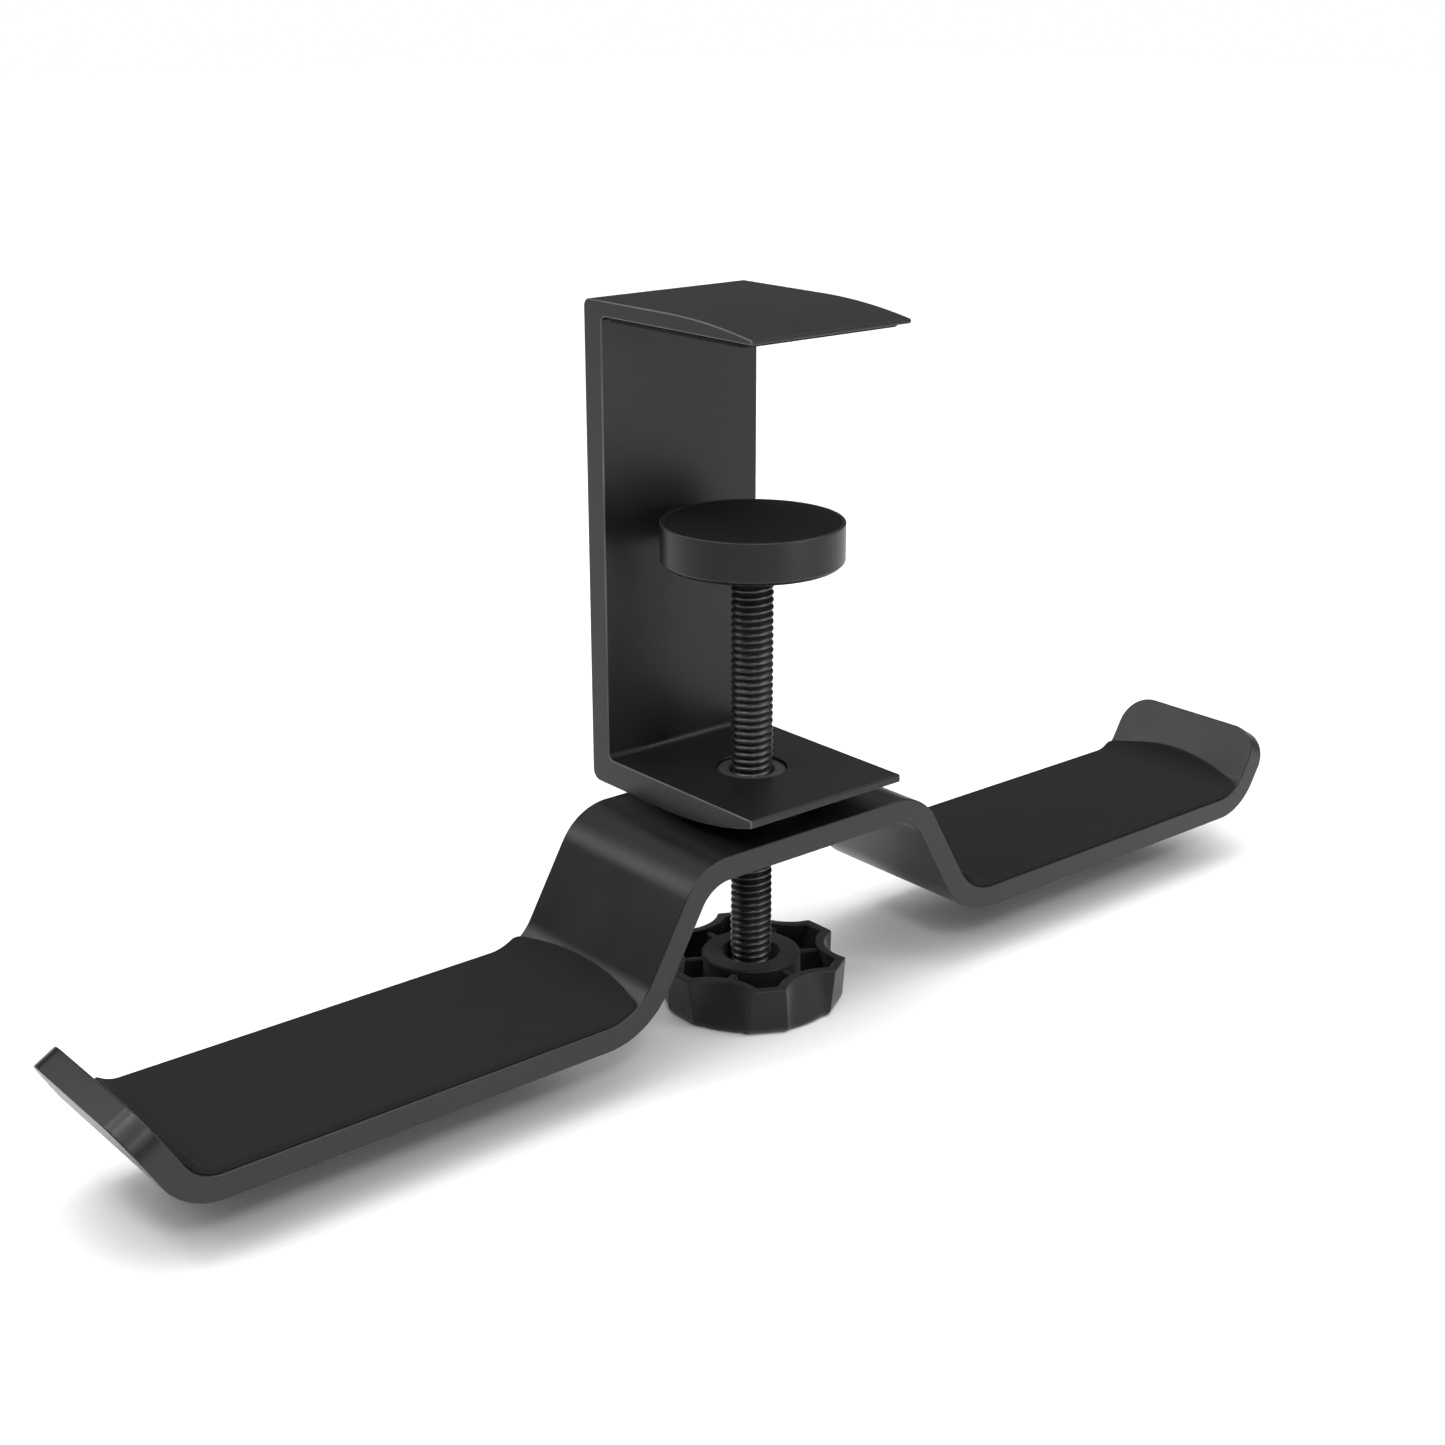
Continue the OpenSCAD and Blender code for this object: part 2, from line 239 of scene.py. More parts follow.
# A closed screw thread: a grid is wound round the axis, one row pitch over another.
def threadTree():
    tree, given, ids = newTree("screwThread", [
        ("Radius", "float"), ("Depth", "float"), ("Pitch", "float"), ("Low", "float"), ("High", "float"),
        ("Lead", "float"), ("Crest power", "float"), ("Columns", "int"), ("Rows a turn", "int"),
        ("Material", "material")])
    radius, depth, pitch, low, high, lead, power, columns, perTurn = given.outputs[:9]
    pitches = calc(tree, "DIVIDE", calc(tree, "SUBTRACT", high, low), pitch)
    turns = calc(tree, "ADD", calc(tree, "CEIL", pitches), 2.0)
    rows = calc(tree, "ADD", calc(tree, "MULTIPLY", turns, perTurn), 1.0)
    grid = addNode(tree, "GeometryNodeMeshGrid", {
        "Size X": 1.0, "Size Y": 1.0, "Vertices X": calc(tree, "ADD", columns, 1.0), "Vertices Y": rows})
    place = addNode(tree, "ShaderNodeSeparateXYZ", {0: addNode(tree, "GeometryNodeInputPosition").outputs[0]})
    across = calc(tree, "ADD", place.outputs["X"], 0.5)
    along = calc(tree, "MULTIPLY", calc(tree, "ADD", place.outputs["Y"], 0.5), turns)
    firstRow = calc(tree, "SUBTRACT", low, pitch)
    height = calc(tree, "MULTIPLY_ADD", calc(tree, "ADD", along, across), pitch, firstRow)
    clamped = calc(tree, "MINIMUM", calc(tree, "MAXIMUM", height, low), high)
    fromLow = calc(tree, "SUBTRACT", clamped, low)
    nearEnd = calc(tree, "MINIMUM", fromLow, calc(tree, "SUBTRACT", high, clamped))
    fade = calc(tree, "MINIMUM", calc(tree, "DIVIDE", nearEnd, lead), 1.0)
    wave = calc(tree, "SINE", calc(tree, "MULTIPLY", calc(tree, "FRACT", along), math.pi))
    ridge = calc(tree, "POWER", calc(tree, "MAXIMUM", wave, 0.0), power)
    root = calc(tree, "SUBTRACT", radius, depth)
    reach = calc(tree, "MULTIPLY_ADD", calc(tree, "MULTIPLY", ridge, fade), depth, root)
    angle = calc(tree, "MULTIPLY", across, 2 * math.pi)
    point = addNode(tree, "ShaderNodeCombineXYZ", {
        "X": calc(tree, "MULTIPLY", reach, calc(tree, "COSINE", angle)),
        "Y": calc(tree, "MULTIPLY", reach, calc(tree, "SINE", angle)), "Z": clamped})
    wound = addNode(tree, "GeometryNodeSetPosition", {
        "Geometry": grid.outputs["Mesh"], "Position": point.outputs[0]})
    join = addNode(tree, "GeometryNodeJoinGeometry", {0: wound.outputs[0]})
    for level in (low, high):
        cap = addNode(tree, "GeometryNodeMeshCircle", {"Vertices": columns, "Radius": root}, fill_type="NGON")
        lift = addNode(tree, "ShaderNodeCombineXYZ", {"Z": level})
        moved = addNode(tree, "GeometryNodeTransform", {
            "Geometry": cap.outputs[0], "Translation": lift.outputs[0]})
        tree.links.new(moved.outputs[0], join.inputs[0])
    merged = addNode(tree, "GeometryNodeMergeByDistance", {"Geometry": join.outputs[0], "Distance": 0.000004})
    closeTree(tree, given, merged.outputs[0])
    return tree, ids


# Repeats the object's own mesh evenly about the upright axis.
def repeatTree():
    tree, given, ids = newTree("repeatRound", [
        ("Geometry", "geometry"), ("Count", "int"), ("First angle", "float"), ("Material", "material")])
    spots = addNode(tree, "GeometryNodeMeshLine", {"Count": given.outputs["Count"], "Offset": (0, 0, 0)})
    index = addNode(tree, "GeometryNodeInputIndex").outputs[0]
    step = calc(tree, "DIVIDE", 2 * math.pi, given.outputs["Count"])
    turn = addNode(tree, "ShaderNodeCombineXYZ", {
        "Z": calc(tree, "MULTIPLY_ADD", index, step, given.outputs["First angle"])})
    copies = addNode(tree, "GeometryNodeInstanceOnPoints", {
        "Points": spots.outputs[0], "Instance": given.outputs["Geometry"], "Rotation": turn.outputs[0]})
    closeTree(tree, given, copies.outputs[0])
    return tree, ids


# One finish: colour and roughness vary a little over the surface, with a fine grain, and the marked rims may
# get a painted highlight, paler in patches.
def makeFinish(name, look):
    material = bpy.data.materials.new(name)
    material.use_nodes = True
    tree = material.node_tree
    shader = tree.nodes["Principled BSDF"]
    shader.inputs["Metallic"].default_value = look.get("metallic", 0.0)
    shader.inputs["Specular IOR Level"].default_value = look.get("specular", 0.5)
    shader.inputs["Sheen Weight"].default_value = look.get("sheen", 0.0)
    shader.inputs["Sheen Roughness"].default_value = 0.5
    place = addNode(tree, "ShaderNodeTexCoord").outputs["Object"]
    stretch = addNode(tree, "ShaderNodeMapping", {
        "Vector": place, "Scale": look.get("stretch", (1, 1, 1))}).outputs[0]
    cloud = addNode(tree, "ShaderNodeTexNoise", {"Vector": place, "Scale": 90.0, "Detail": 3.0})
    grain = addNode(tree, "ShaderNodeTexNoise", {
        "Vector": stretch, "Scale": look.get("grainScale", 2600.0), "Detail": 2.0, "Roughness": 0.6})
    cloudShare = calc(tree, "MULTIPLY", cloud.outputs[0], 0.55)
    blend = calc(tree, "ADD", cloudShare, calc(tree, "MULTIPLY", grain.outputs[0], 0.45))
    ramp = addNode(tree, "ShaderNodeValToRGB", {"Fac": blend})
    ramp.color_ramp.elements[0].position = 0.36
    ramp.color_ramp.elements[1].position = 0.64
    ramp.color_ramp.elements[0].color = (*look["dark"], 1)
    ramp.color_ramp.elements[1].color = (*look["light"], 1)
    colour = ramp.outputs[0]
    rough = addNode(tree, "ShaderNodeMapRange", {
        "Value": blend, "From Min": 0.35, "From Max": 0.65,
        "To Min": look["rough"][0], "To Max": look["rough"][1]}).outputs[0]
    # painted highlight: the rims marked in the mesh are mixed towards a pale colour, in patches
    if "edgeHighlight" in look:
        edge = addNode(tree, "ShaderNodeAttribute", attribute_name="paintedHighlight").outputs["Fac"]
        patch = addNode(tree, "ShaderNodeMapRange", {
            "Value": cloud.outputs[0], "From Min": 0.3, "From Max": 0.7, "To Min": 0.45, "To Max": 1.0})
        highlightShare = calc(tree, "MULTIPLY", edge, patch.outputs[0])
        mix = tree.nodes.new("ShaderNodeMixRGB")
        mix.inputs["Color2"].default_value = (*look["edgeHighlight"], 1)
        tree.links.new(highlightShare, mix.inputs["Fac"])
        tree.links.new(colour, mix.inputs["Color1"])
        colour = mix.outputs[0]
    tree.links.new(colour, shader.inputs["Base Color"])
    tree.links.new(rough, shader.inputs["Roughness"])
    bump = addNode(tree, "ShaderNodeBump", {
        "Height": grain.outputs[0], "Strength": look["bump"], "Distance": look.get("depth", 0.00004)})
    tree.links.new(bump.outputs[0], shader.inputs["Normal"])
    return material


# The pale rim colour of the bracket, the disc and the knob is a painted highlight along their rims.
looks = {
    "bracketAluminium": dict(
        dark=(0.0068, 0.0068, 0.007), light=(0.0092, 0.0092, 0.0094), rough=(0.31, 0.38),
        edgeHighlight=(0.13, 0.13, 0.132), specular=0.28, grainScale=2400.0, bump=0.16),
    "hookAluminium": dict(
        dark=(0.0065, 0.0065, 0.0067), light=(0.0088, 0.0088, 0.009), rough=(0.31, 0.38),
        specular=0.35, grainScale=2400.0, bump=0.16),
    "turnedAluminium": dict(
        dark=(0.006, 0.006, 0.0062), light=(0.0078, 0.0078, 0.008), rough=(0.33, 0.38),
        edgeHighlight=(0.04, 0.04, 0.041), specular=0.24, stretch=(0.25, 0.25, 1.6), bump=0.1),
    "sheetRubber": dict(
        dark=(0.0125, 0.0125, 0.0125), light=(0.0145, 0.0145, 0.0145), rough=(0.8, 0.9), specular=0.08,
        grainScale=1500.0, bump=0.22, depth=6e-05),
    "discRubber": dict(
        dark=(0.0072, 0.0072, 0.0072), light=(0.0092, 0.0092, 0.0092), rough=(0.66, 0.76),
        specular=0.1, grainScale=1700.0, bump=0.16),
    "oiledSteel": dict(
        dark=(0.007, 0.007, 0.0072), light=(0.011, 0.011, 0.0113), rough=(0.33, 0.37), specular=0.75,
        grainScale=500.0, bump=0.0),
    "turnedSteel": dict(
        dark=(0.05, 0.05, 0.051), light=(0.07, 0.07, 0.072), rough=(0.38, 0.48), metallic=0.3,
        stretch=(0.4, 0.4, 3), bump=0.12),
    "springSteel": dict(
        dark=(0.045, 0.045, 0.048), light=(0.08, 0.08, 0.085), rough=(0.32, 0.45), metallic=0.8,
        bump=0.1),
    "bearingNylon": dict(
        dark=(0.005, 0.005, 0.005), light=(0.007, 0.007, 0.007), rough=(0.45, 0.55), specular=0.3,
        bump=0.08),
    "mouldedNylon": dict(
        dark=(0.006, 0.006, 0.0062), light=(0.0085, 0.0085, 0.0087), rough=(0.45, 0.53),
        edgeHighlight=(0.024, 0.024, 0.025), specular=0.2, sheen=0.17, grainScale=1700.0, bump=0.2,
        depth=5e-05),
    "adhesiveFilm": dict(
        dark=(0.012, 0.012, 0.012), light=(0.016, 0.016, 0.016), rough=(0.5, 0.6), bump=0.1),
}
finishes = {name: makeFinish(name, look) for name, look in looks.items()}
print("finishes made:", len(finishes))


# The C-shaped bracket of the clamp, and the rubber under its upper jaw.
bracket = dict(postThickness=5.5, topTip=0.9, lowTip=1.6, topFlat=2.0, lowFlat=3.0,
               innerRadius=1.2, topCorner=1.6, lowCorner=2.2, tipCorner=0.4, edge=0.34, curveSteps=18,
               holeChamfer=0.2, padFront=2.4, flangeSink=0.5)


# The falling curve of a jaw: an arc that starts level at one point and drops to the tip.
def jawCurve(startY, tipY, level, fall, steps):
    run = startY - tipY
    radius = (run * run + fall * fall) / (2 * abs(fall))
    side = 1 if fall > 0 else -1
    swing = math.asin(run / radius)
    angles = [swing * k / steps for k in range(steps + 1)]
    return [(startY - radius * math.sin(a), level - side * radius * (1 - math.cos(a)), 0) for a in angles]


def buildBracket():
    low, high = span("clamp_bracket")
    seat = span("jaw_pad_film")[1].z
    flangeTop = span("threaded_bush")[1].z
    jawTop = flangeTop + bracket["flangeSink"]
    postIn = high.y - bracket["postThickness"]
    topReach = span("jaw_pad")[0].y - bracket["padFront"]
    steps = bracket["curveSteps"]
    topFall = high.z - seat - bracket["topTip"]
    lowRise = jawTop - low.z - bracket["lowTip"]
    topCurve = jawCurve(bracket["topFlat"], topReach, high.z, topFall, steps)
    lowCurve = jawCurve(bracket["lowFlat"], low.y, low.z, -lowRise, steps)
    topEnd, lowEnd = topCurve.pop(), lowCurve.pop()
    tip = bracket["tipCorner"]
    corners = [
        (low.y, jawTop, tip), (lowEnd[0], lowEnd[1], tip), *reversed(lowCurve),
        (high.y, low.z, bracket["lowCorner"]), (high.y, high.z, bracket["topCorner"]), *topCurve,
        (topEnd[0], topEnd[1], tip), (topReach, seat, tip),
        (postIn, seat, bracket["innerRadius"]), (postIn, jawTop, bracket["innerRadius"])]
    bm = bmesh.new()
    slab(bm, rounded(corners, 5), low.x, high.x, bracket["edge"], bracket["edge"])
    for vert in bm.verts:
        y, z, x = vert.co
        vert.co = (x, y, z)
    obj = looseObject(bm, "clampBracket")
    reach, chamfer = span("threaded_bush")[1].x + 0.1, bracket["holeChamfer"]
    seatLevel, sleeve = flangeTop - bush["flangeThickness"], bush["sleeve"]
    cutter = bmesh.new()
    lathe(cutter, [(0, low.z - 2, 0), (sleeve, low.z - 2, 0), (sleeve, seatLevel, 0), (reach, seatLevel, 0),
                   (reach, jawTop - chamfer, 0), (reach + 2 * chamfer, jawTop + chamfer, 0),
                   (0, jawTop + chamfer, 0)])
    combine(obj, [looseObject(cutter, "bushSeat")], "DIFFERENCE")
    return finishPiece(obj, finishes["bracketAluminium"], "black_aluminium", "clamp", "clamp_bracket")


# A plain rectangle of thin sheet with rounded corners and rims.
def buildJawPad():
    low, high = span("jaw_pad")
    bm = bmesh.new()
    corners = [(low.x, low.y, 2), (high.x, low.y, 2), (high.x, high.y, 2), (low.x, high.y, 2)]
    slab(bm, rounded(corners, 6), low.z, high.z, 0.25, 0.0, 3)
    obj = finishPiece(looseObject(bm, "jawPad"), finishes["sheetRubber"], "black_rubber", "clamp", "jaw_pad")


# The threaded bush and what is stacked on it to hold the hook.
bush = dict(flangeThickness=1.2, sleeve=6.0, clearRadius=6.06, bore=4.38, grooveRadius=5.4,
            boreChamfer=0.45, rim=0.3)
waveSpring = dict(waves=3, swing=0.36, inner=6.5, thickness=0.4, edge=0.08, steps=108)
circlip = dict(fullRadius=8.3, gap=24, lugSpan=15, backWidth=2.3, frontWidth=1.5, holeRadius=0.62, edge=0.12,
               steps=72)


def buildBush():
    low, high = span("threaded_bush")
    ring = span("retaining_ring")
    under = high.z - bush["flangeThickness"]
    bore, groove, chamfer, rim = bush["bore"], bush["grooveRadius"], bush["boreChamfer"], bush["rim"]
    sleeve = bush["sleeve"]
    bm = bmesh.new()
    lathe(bm, [(bore, low.z + chamfer, 0), (bore + chamfer, low.z, 0), (sleeve - rim, low.z, 0),
               (sleeve, low.z + rim, 0), (sleeve, ring[0].z, 0), (groove, ring[0].z, 0),
               (groove, ring[1].z, 0), (sleeve, ring[1].z, 0), (sleeve, under, 0), (high.x, under, 0),
               (high.x, high.z, rim), (bore + chamfer, high.z, 0), (bore, high.z - chamfer, 0)])
    obj = looseObject(bm, "threadedBush")
    finishPiece(obj, finishes["turnedSteel"], "bush_steel", "clamp", "threaded_bush")


# A plain ring between a CAD node's own levels, with rounded rims.
def buildRing(name, node, inner, edge, finish, slot, body):
    low, high = span(node)
    bm = bmesh.new()
    lathe(bm, [(inner, low.z, edge), (high.x, low.z, edge), (high.x, high.z, edge), (inner, high.z, edge)])
    finishPiece(looseObject(bm, name), finishes[finish], slot, body, node)


# A flat wire ring that rises and falls between its two neighbours.
def buildWaveSpring():
    low, high = span("wave_spring")
    middle = (low.z + high.z) / 2
    inner, outer, half = waveSpring["inner"], high.x - 0.3, waveSpring["thickness"] / 2
    edge = waveSpring["edge"]
    corners = [(inner, -half, edge), (outer, -half, edge), (outer, half, edge), (inner, half, edge)]
    section = rounded(corners, 2)
    loops = []
    for k in range(waveSpring["steps"]):
        angle = 2 * math.pi * k / waveSpring["steps"]
        lift = middle + waveSpring["swing"] * math.sin(waveSpring["waves"] * angle)
        loops.append([(p.x * math.cos(angle), p.x * math.sin(angle), p.y + lift) for p in section])
    bm = bmesh.new()
    skin(bm, loops, "ring")
    obj = looseObject(bm, "waveSpring")
    finishPiece(obj, finishes["springSteel"], "spring_steel", "clamp", "wave_spring")


# An open retaining ring, wide at its back and with two drilled lugs at its gap.
def buildCirclip(name, node, inner, body):
    low, high = span(node)
    outer = max(high.x, -low.x, high.y)
    gap, steps = math.radians(circlip["gap"]), circlip["steps"]
    angles = [gap + (2 * math.pi - 2 * gap) * k / steps for k in range(steps + 1)]
    share = outer / circlip["fullRadius"]
    outline = []
    for a in angles:
        past = min(a, 2 * math.pi - a) - gap
        lug = max(0.0, 1 - past / math.radians(circlip["lugSpan"])) ** 0.35
        back = (1 - math.cos(a)) / 2
        width = circlip["frontWidth"] + (circlip["backWidth"] - circlip["frontWidth"]) * back
        plain = inner + width * share
        reach = plain + (outer - 0.05 - plain) * lug
        outline.append(Vector((reach * math.cos(a), reach * math.sin(a))))
    outline += [Vector((inner * math.cos(a), inner * math.sin(a))) for a in reversed(angles)]
    bm = bmesh.new()
    slab(bm, outline, low.z, high.z, circlip["edge"], circlip["edge"], 2)
    obj = looseObject(bm, name)
    holes = []
    for side in (1, -1):
        angle = side * (gap + math.radians(circlip["lugSpan"]) * 0.42)
        reach = (inner + outer) / 2
        hole = bmesh.new()
        lathe(hole, [(0, low.z - 1, 0), (circlip["holeRadius"] * share, low.z - 1, 0),
                     (circlip["holeRadius"] * share, high.z + 1, 0), (0, high.z + 1, 0)], 24)
        bmesh.ops.translate(hole, vec=(reach * math.cos(angle), reach * math.sin(angle), 0), verts=hole.verts)
        holes.append(looseObject(hole, "lugHole"))
    combine(obj, holes, "DIFFERENCE")
    finishPiece(obj, finishes["springSteel"], "spring_steel", body, node)


# The bent bar and the rubbers on its arms.
hookBar = dict(thickness=5.0, plateHalf=30.0, plateBend=8.0, footBend=12.0, tipBend=8.0, legAngle=60.0,
               tipAngle=60.0, tipLength=16.2, tipCorner=7.5, edge=0.28, bendStep=3.0, bore=7.2)
armPad = dict(film=0.1, thickness=1.5, endRadius=86.0, innerPast=2.6, outerPast=3.2, cornerRadius=2.6,
              edge=0.42, endSteps=12)


# The middle line of the bar's right half: straight runs and bends, as (kind, length or radius, degrees).
def barRuns():
    low, high = span("hook_bar")
    thick = hookBar["thickness"]
    drop = high.z - low.z - thick
    halfLeg = math.tan(math.radians(hookBar["legAngle"] / 2))
    halfTip = math.tan(math.radians(hookBar["tipAngle"] / 2))
    footX = hookBar["plateHalf"] + drop / math.tan(math.radians(hookBar["legAngle"]))
    tipAngle = math.radians(hookBar["tipAngle"])
    tipX = high.x - hookBar["tipLength"] * math.cos(tipAngle) - thick * math.sin(tipAngle)
    plateOuter = hookBar["plateBend"] + thick
    legLength = drop / math.sin(math.radians(hookBar["legAngle"]))
    return footX, tipX, [
        ("line", hookBar["plateHalf"] - plateOuter * halfLeg, 0),
        ("bend", hookBar["plateBend"] + thick / 2, -hookBar["legAngle"]),
        ("line", legLength - (plateOuter + hookBar["footBend"]) * halfLeg, 0),
        ("bend", hookBar["footBend"] + thick / 2, hookBar["legAngle"]),
        ("line", tipX - footX - hookBar["footBend"] * halfLeg - hookBar["tipBend"] * halfTip, 0),
        ("bend", hookBar["tipBend"] + thick / 2, hookBar["tipAngle"]),
        ("line", hookBar["tipLength"] - hookBar["tipBend"] * halfTip, 0)]


footX, tipX, runs = barRuns()
plateTop = span("hook_bar")[1].z
armTop = span("hook_bar")[0].z + hookBar["thickness"]


def runLength(run):
    kind, size, angle = run
    return size if kind == "line" else size * abs(math.radians(angle))


barHalf = sum(runLength(run) for run in runs)


# The point at a distance along the middle line, and a height above it.
def barPoint(distance, height):
    x, z, heading = 0.0, plateTop - hookBar["thickness"] / 2, 0.0
    for i, run in enumerate(runs):
        kind, size, angle = run
        length = runLength(run)
        last = i == len(runs) - 1
        part = distance if last else min(distance, length)
        if kind == "line":
            x, z = x + part * math.cos(heading), z + part * math.sin(heading)
        else:
            side = 1 if angle > 0 else -1
            centreX, centreZ = x - side * size * math.sin(heading), z + side * size * math.cos(heading)
            heading += side * part / size
            x, z = centreX + side * size * math.sin(heading), centreZ - side * size * math.cos(heading)
        distance -= part
        if distance <= 1e-9:
            break
    return x - height * math.sin(heading), z + height * math.cos(heading)


# Distances where the flat bar is cut across, so that it can bend.
def barStations():
    cuts, start = [], 0.0
    for run in runs:
        kind, _, angle = run
        length = runLength(run)
        pieces = math.ceil(abs(angle) / hookBar["bendStep"]) if kind == "bend" else 3
        cuts += [start + length * k / pieces for k in range(pieces)]
        start += length
    return cuts


# Cuts a flat slab across at every station and bends it along the bar.
def bendAlongBar(bm):
    for cut in barStations():
        for side in ((1, -1) if cut > 0 else (1,)):
            bmesh.ops.bisect_plane(bm, geom=[*bm.verts, *bm.edges, *bm.faces], dist=0.0001,
                                   plane_co=(side * cut, 0, 0), plane_no=(1, 0, 0))
    for vert in bm.verts:
        distance, y, height = vert.co
        x, z = barPoint(abs(distance), height)
        vert.co = (math.copysign(x, distance), y, z)


def buildHookBar():
    halfWidth, thick = span("hook_bar")[1].y, hookBar["thickness"]
    corner = hookBar["tipCorner"]
    bm = bmesh.new()
    corners = [(-barHalf, -halfWidth, corner), (barHalf, -halfWidth, corner),
               (barHalf, halfWidth, corner), (-barHalf, halfWidth, corner)]
    slab(bm, rounded(corners, 12), -thick / 2, thick / 2, hookBar["edge"], hookBar["edge"], 4)
    bendAlongBar(bm)
    obj = looseObject(bm, "hookBar")
    cutter = bmesh.new()
    under, bore = plateTop - thick, hookBar["bore"]
    lathe(cutter, [(0, under - 1, 0), (bore + 0.8, under - 1, 0), (bore, under + 0.3, 0),
                   (bore, plateTop - 0.3, 0), (bore + 0.8, plateTop + 1, 0), (0, plateTop + 1, 0)])
    combine(obj, [looseObject(cutter, "hookBore")], "DIFFERENCE")
    finishPiece(obj, finishes["hookAluminium"], "black_aluminium", "hook", "hook_bar", sharp=50)


# Distance along the bar at which its upper face reaches a given x.
def alongFor(x):
    low, high = 0.0, barHalf
    for _ in range(40):
        middle = (low + high) / 2
        if barPoint(middle, hookBar["thickness"] / 2)[0] < x:
            low = middle
        else:
            high = middle
    return (low + high) / 2


def buildArmPad(name, node, side):
    halfWidth = span("hook_pad_right")[1].y
    radius, corner = armPad["endRadius"], armPad["cornerRadius"]
    innerX, outerX = footX - armPad["innerPast"], tipX + armPad["outerPast"]

    def endPoint(y, outer):
        bow = radius - math.sqrt(radius * radius - y * y)
        return alongFor(outerX - bow if outer else innerX + bow)

    rows = [-1 + 2 * k / armPad["endSteps"] for k in range(armPad["endSteps"] + 1)]
    free = halfWidth - 1.6 * corner
    innerEnd, outerEnd = endPoint(halfWidth, False), endPoint(halfWidth, True)
    corners = [(innerEnd, -halfWidth, corner), (outerEnd, -halfWidth, corner)]
    corners += [(endPoint(y * free, True), y * free, 0) for y in rows]
    corners += [(outerEnd, halfWidth, corner), (innerEnd, halfWidth, corner)]
    corners += [(endPoint(y * free, False), y * free, 0) for y in reversed(rows)]
    base = hookBar["thickness"] / 2
    bm = bmesh.new()
    slab(bm, rounded(corners, 6), base + armPad["film"], base + armPad["thickness"], 0.0, armPad["edge"], 5)
    bendAlongBar(bm)
    if side < 0:
        bmesh.ops.scale(bm, vec=(-1, 1, 1), verts=bm.verts)
    obj = finishPiece(looseObject(bm, name), finishes["sheetRubber"], "black_rubber", "hook", node, sharp=60)


def buildPivotBush():
    low, high = span("pivot_bush")
    clear = bush["clearRadius"]
    bm = bmesh.new()
    lathe(bm, [(clear, low.z, 0.15), (hookBar["bore"], low.z, 0.15), (hookBar["bore"], plateTop, 0),
               (high.x, plateTop, 0.2), (high.x, high.z, 0.35), (clear, high.z, 0.25)])
    finishPiece(looseObject(bm, "pivotBush"), finishes["bearingNylon"], "bearing_nylon", "hook", "pivot_bush")


# The disc that is pressed up under the desk, and its rubber face.
disc = dict(lowerEdge=0.85, rimEdge=0.3, padCrown=0.12, padEdge=0.35, cavity=5.6, clipWell=6.0,
            neckHole=3.06, gap=0.05, steps=128)


def buildDisc():
    low, high = span("pressure_disc")
    padLow, padHigh = span("disc_pad")
    filmLow = span("disc_pad_film")[0].z
    washerHigh = span("screw_washer")[1].z
    clipLow = span("disc_clip")[0].z
    radius, edge = high.x, disc["lowerEdge"]
    seat = padHigh.x
    neck, well, cavity = disc["neckHole"], disc["clipWell"], disc["cavity"]
    clipSeat, washerSeat = clipLow - disc["gap"], washerHigh + disc["gap"]
    bm = bmesh.new()
    lathe(bm, [(cavity, low.z, 0.2), (radius - edge, low.z, 0.8), (radius, low.z + edge, 0.5),
               (radius, high.z, disc["rimEdge"]), (seat, high.z, disc["rimEdge"] * 0.8), (seat, filmLow, 0),
               (well, filmLow, 0), (well, clipSeat, 0), (neck, clipSeat, 0), (neck, washerSeat, 0),
               (cavity, washerSeat, 0)], disc["steps"])
    body = looseObject(bm, "pressureDisc")
    finishPiece(body, finishes["turnedAluminium"], "disc_aluminium", "foot", "pressure_disc")
    face = bmesh.new()
    inner, shoulder = padHigh.x - 0.03, padHigh.z - disc["padCrown"]
    lathe(face, [(0, padLow.z, 0), (inner, padLow.z, 0), (inner, shoulder, disc["padEdge"]),
                 (inner - 5, padHigh.z - 0.02, 2.0), (0, padHigh.z, 0)], disc["steps"])
    pad = looseObject(face, "discPad")
    finishPiece(pad, finishes["discRubber"], "disc_rubber", "foot", "disc_pad", sharp=60)


# The clamp screw: threaded shaft, hexagon head and grooved neck.
screw = dict(radius=4.3, pitch=1.5, depth=0.72, crestPower=0.95, columns=96, rowsPerTurn=14, lead=1.2,
             headAcross=13.0, headHeight=3.8, neckRadius=3.0, neckGroove=2.4)


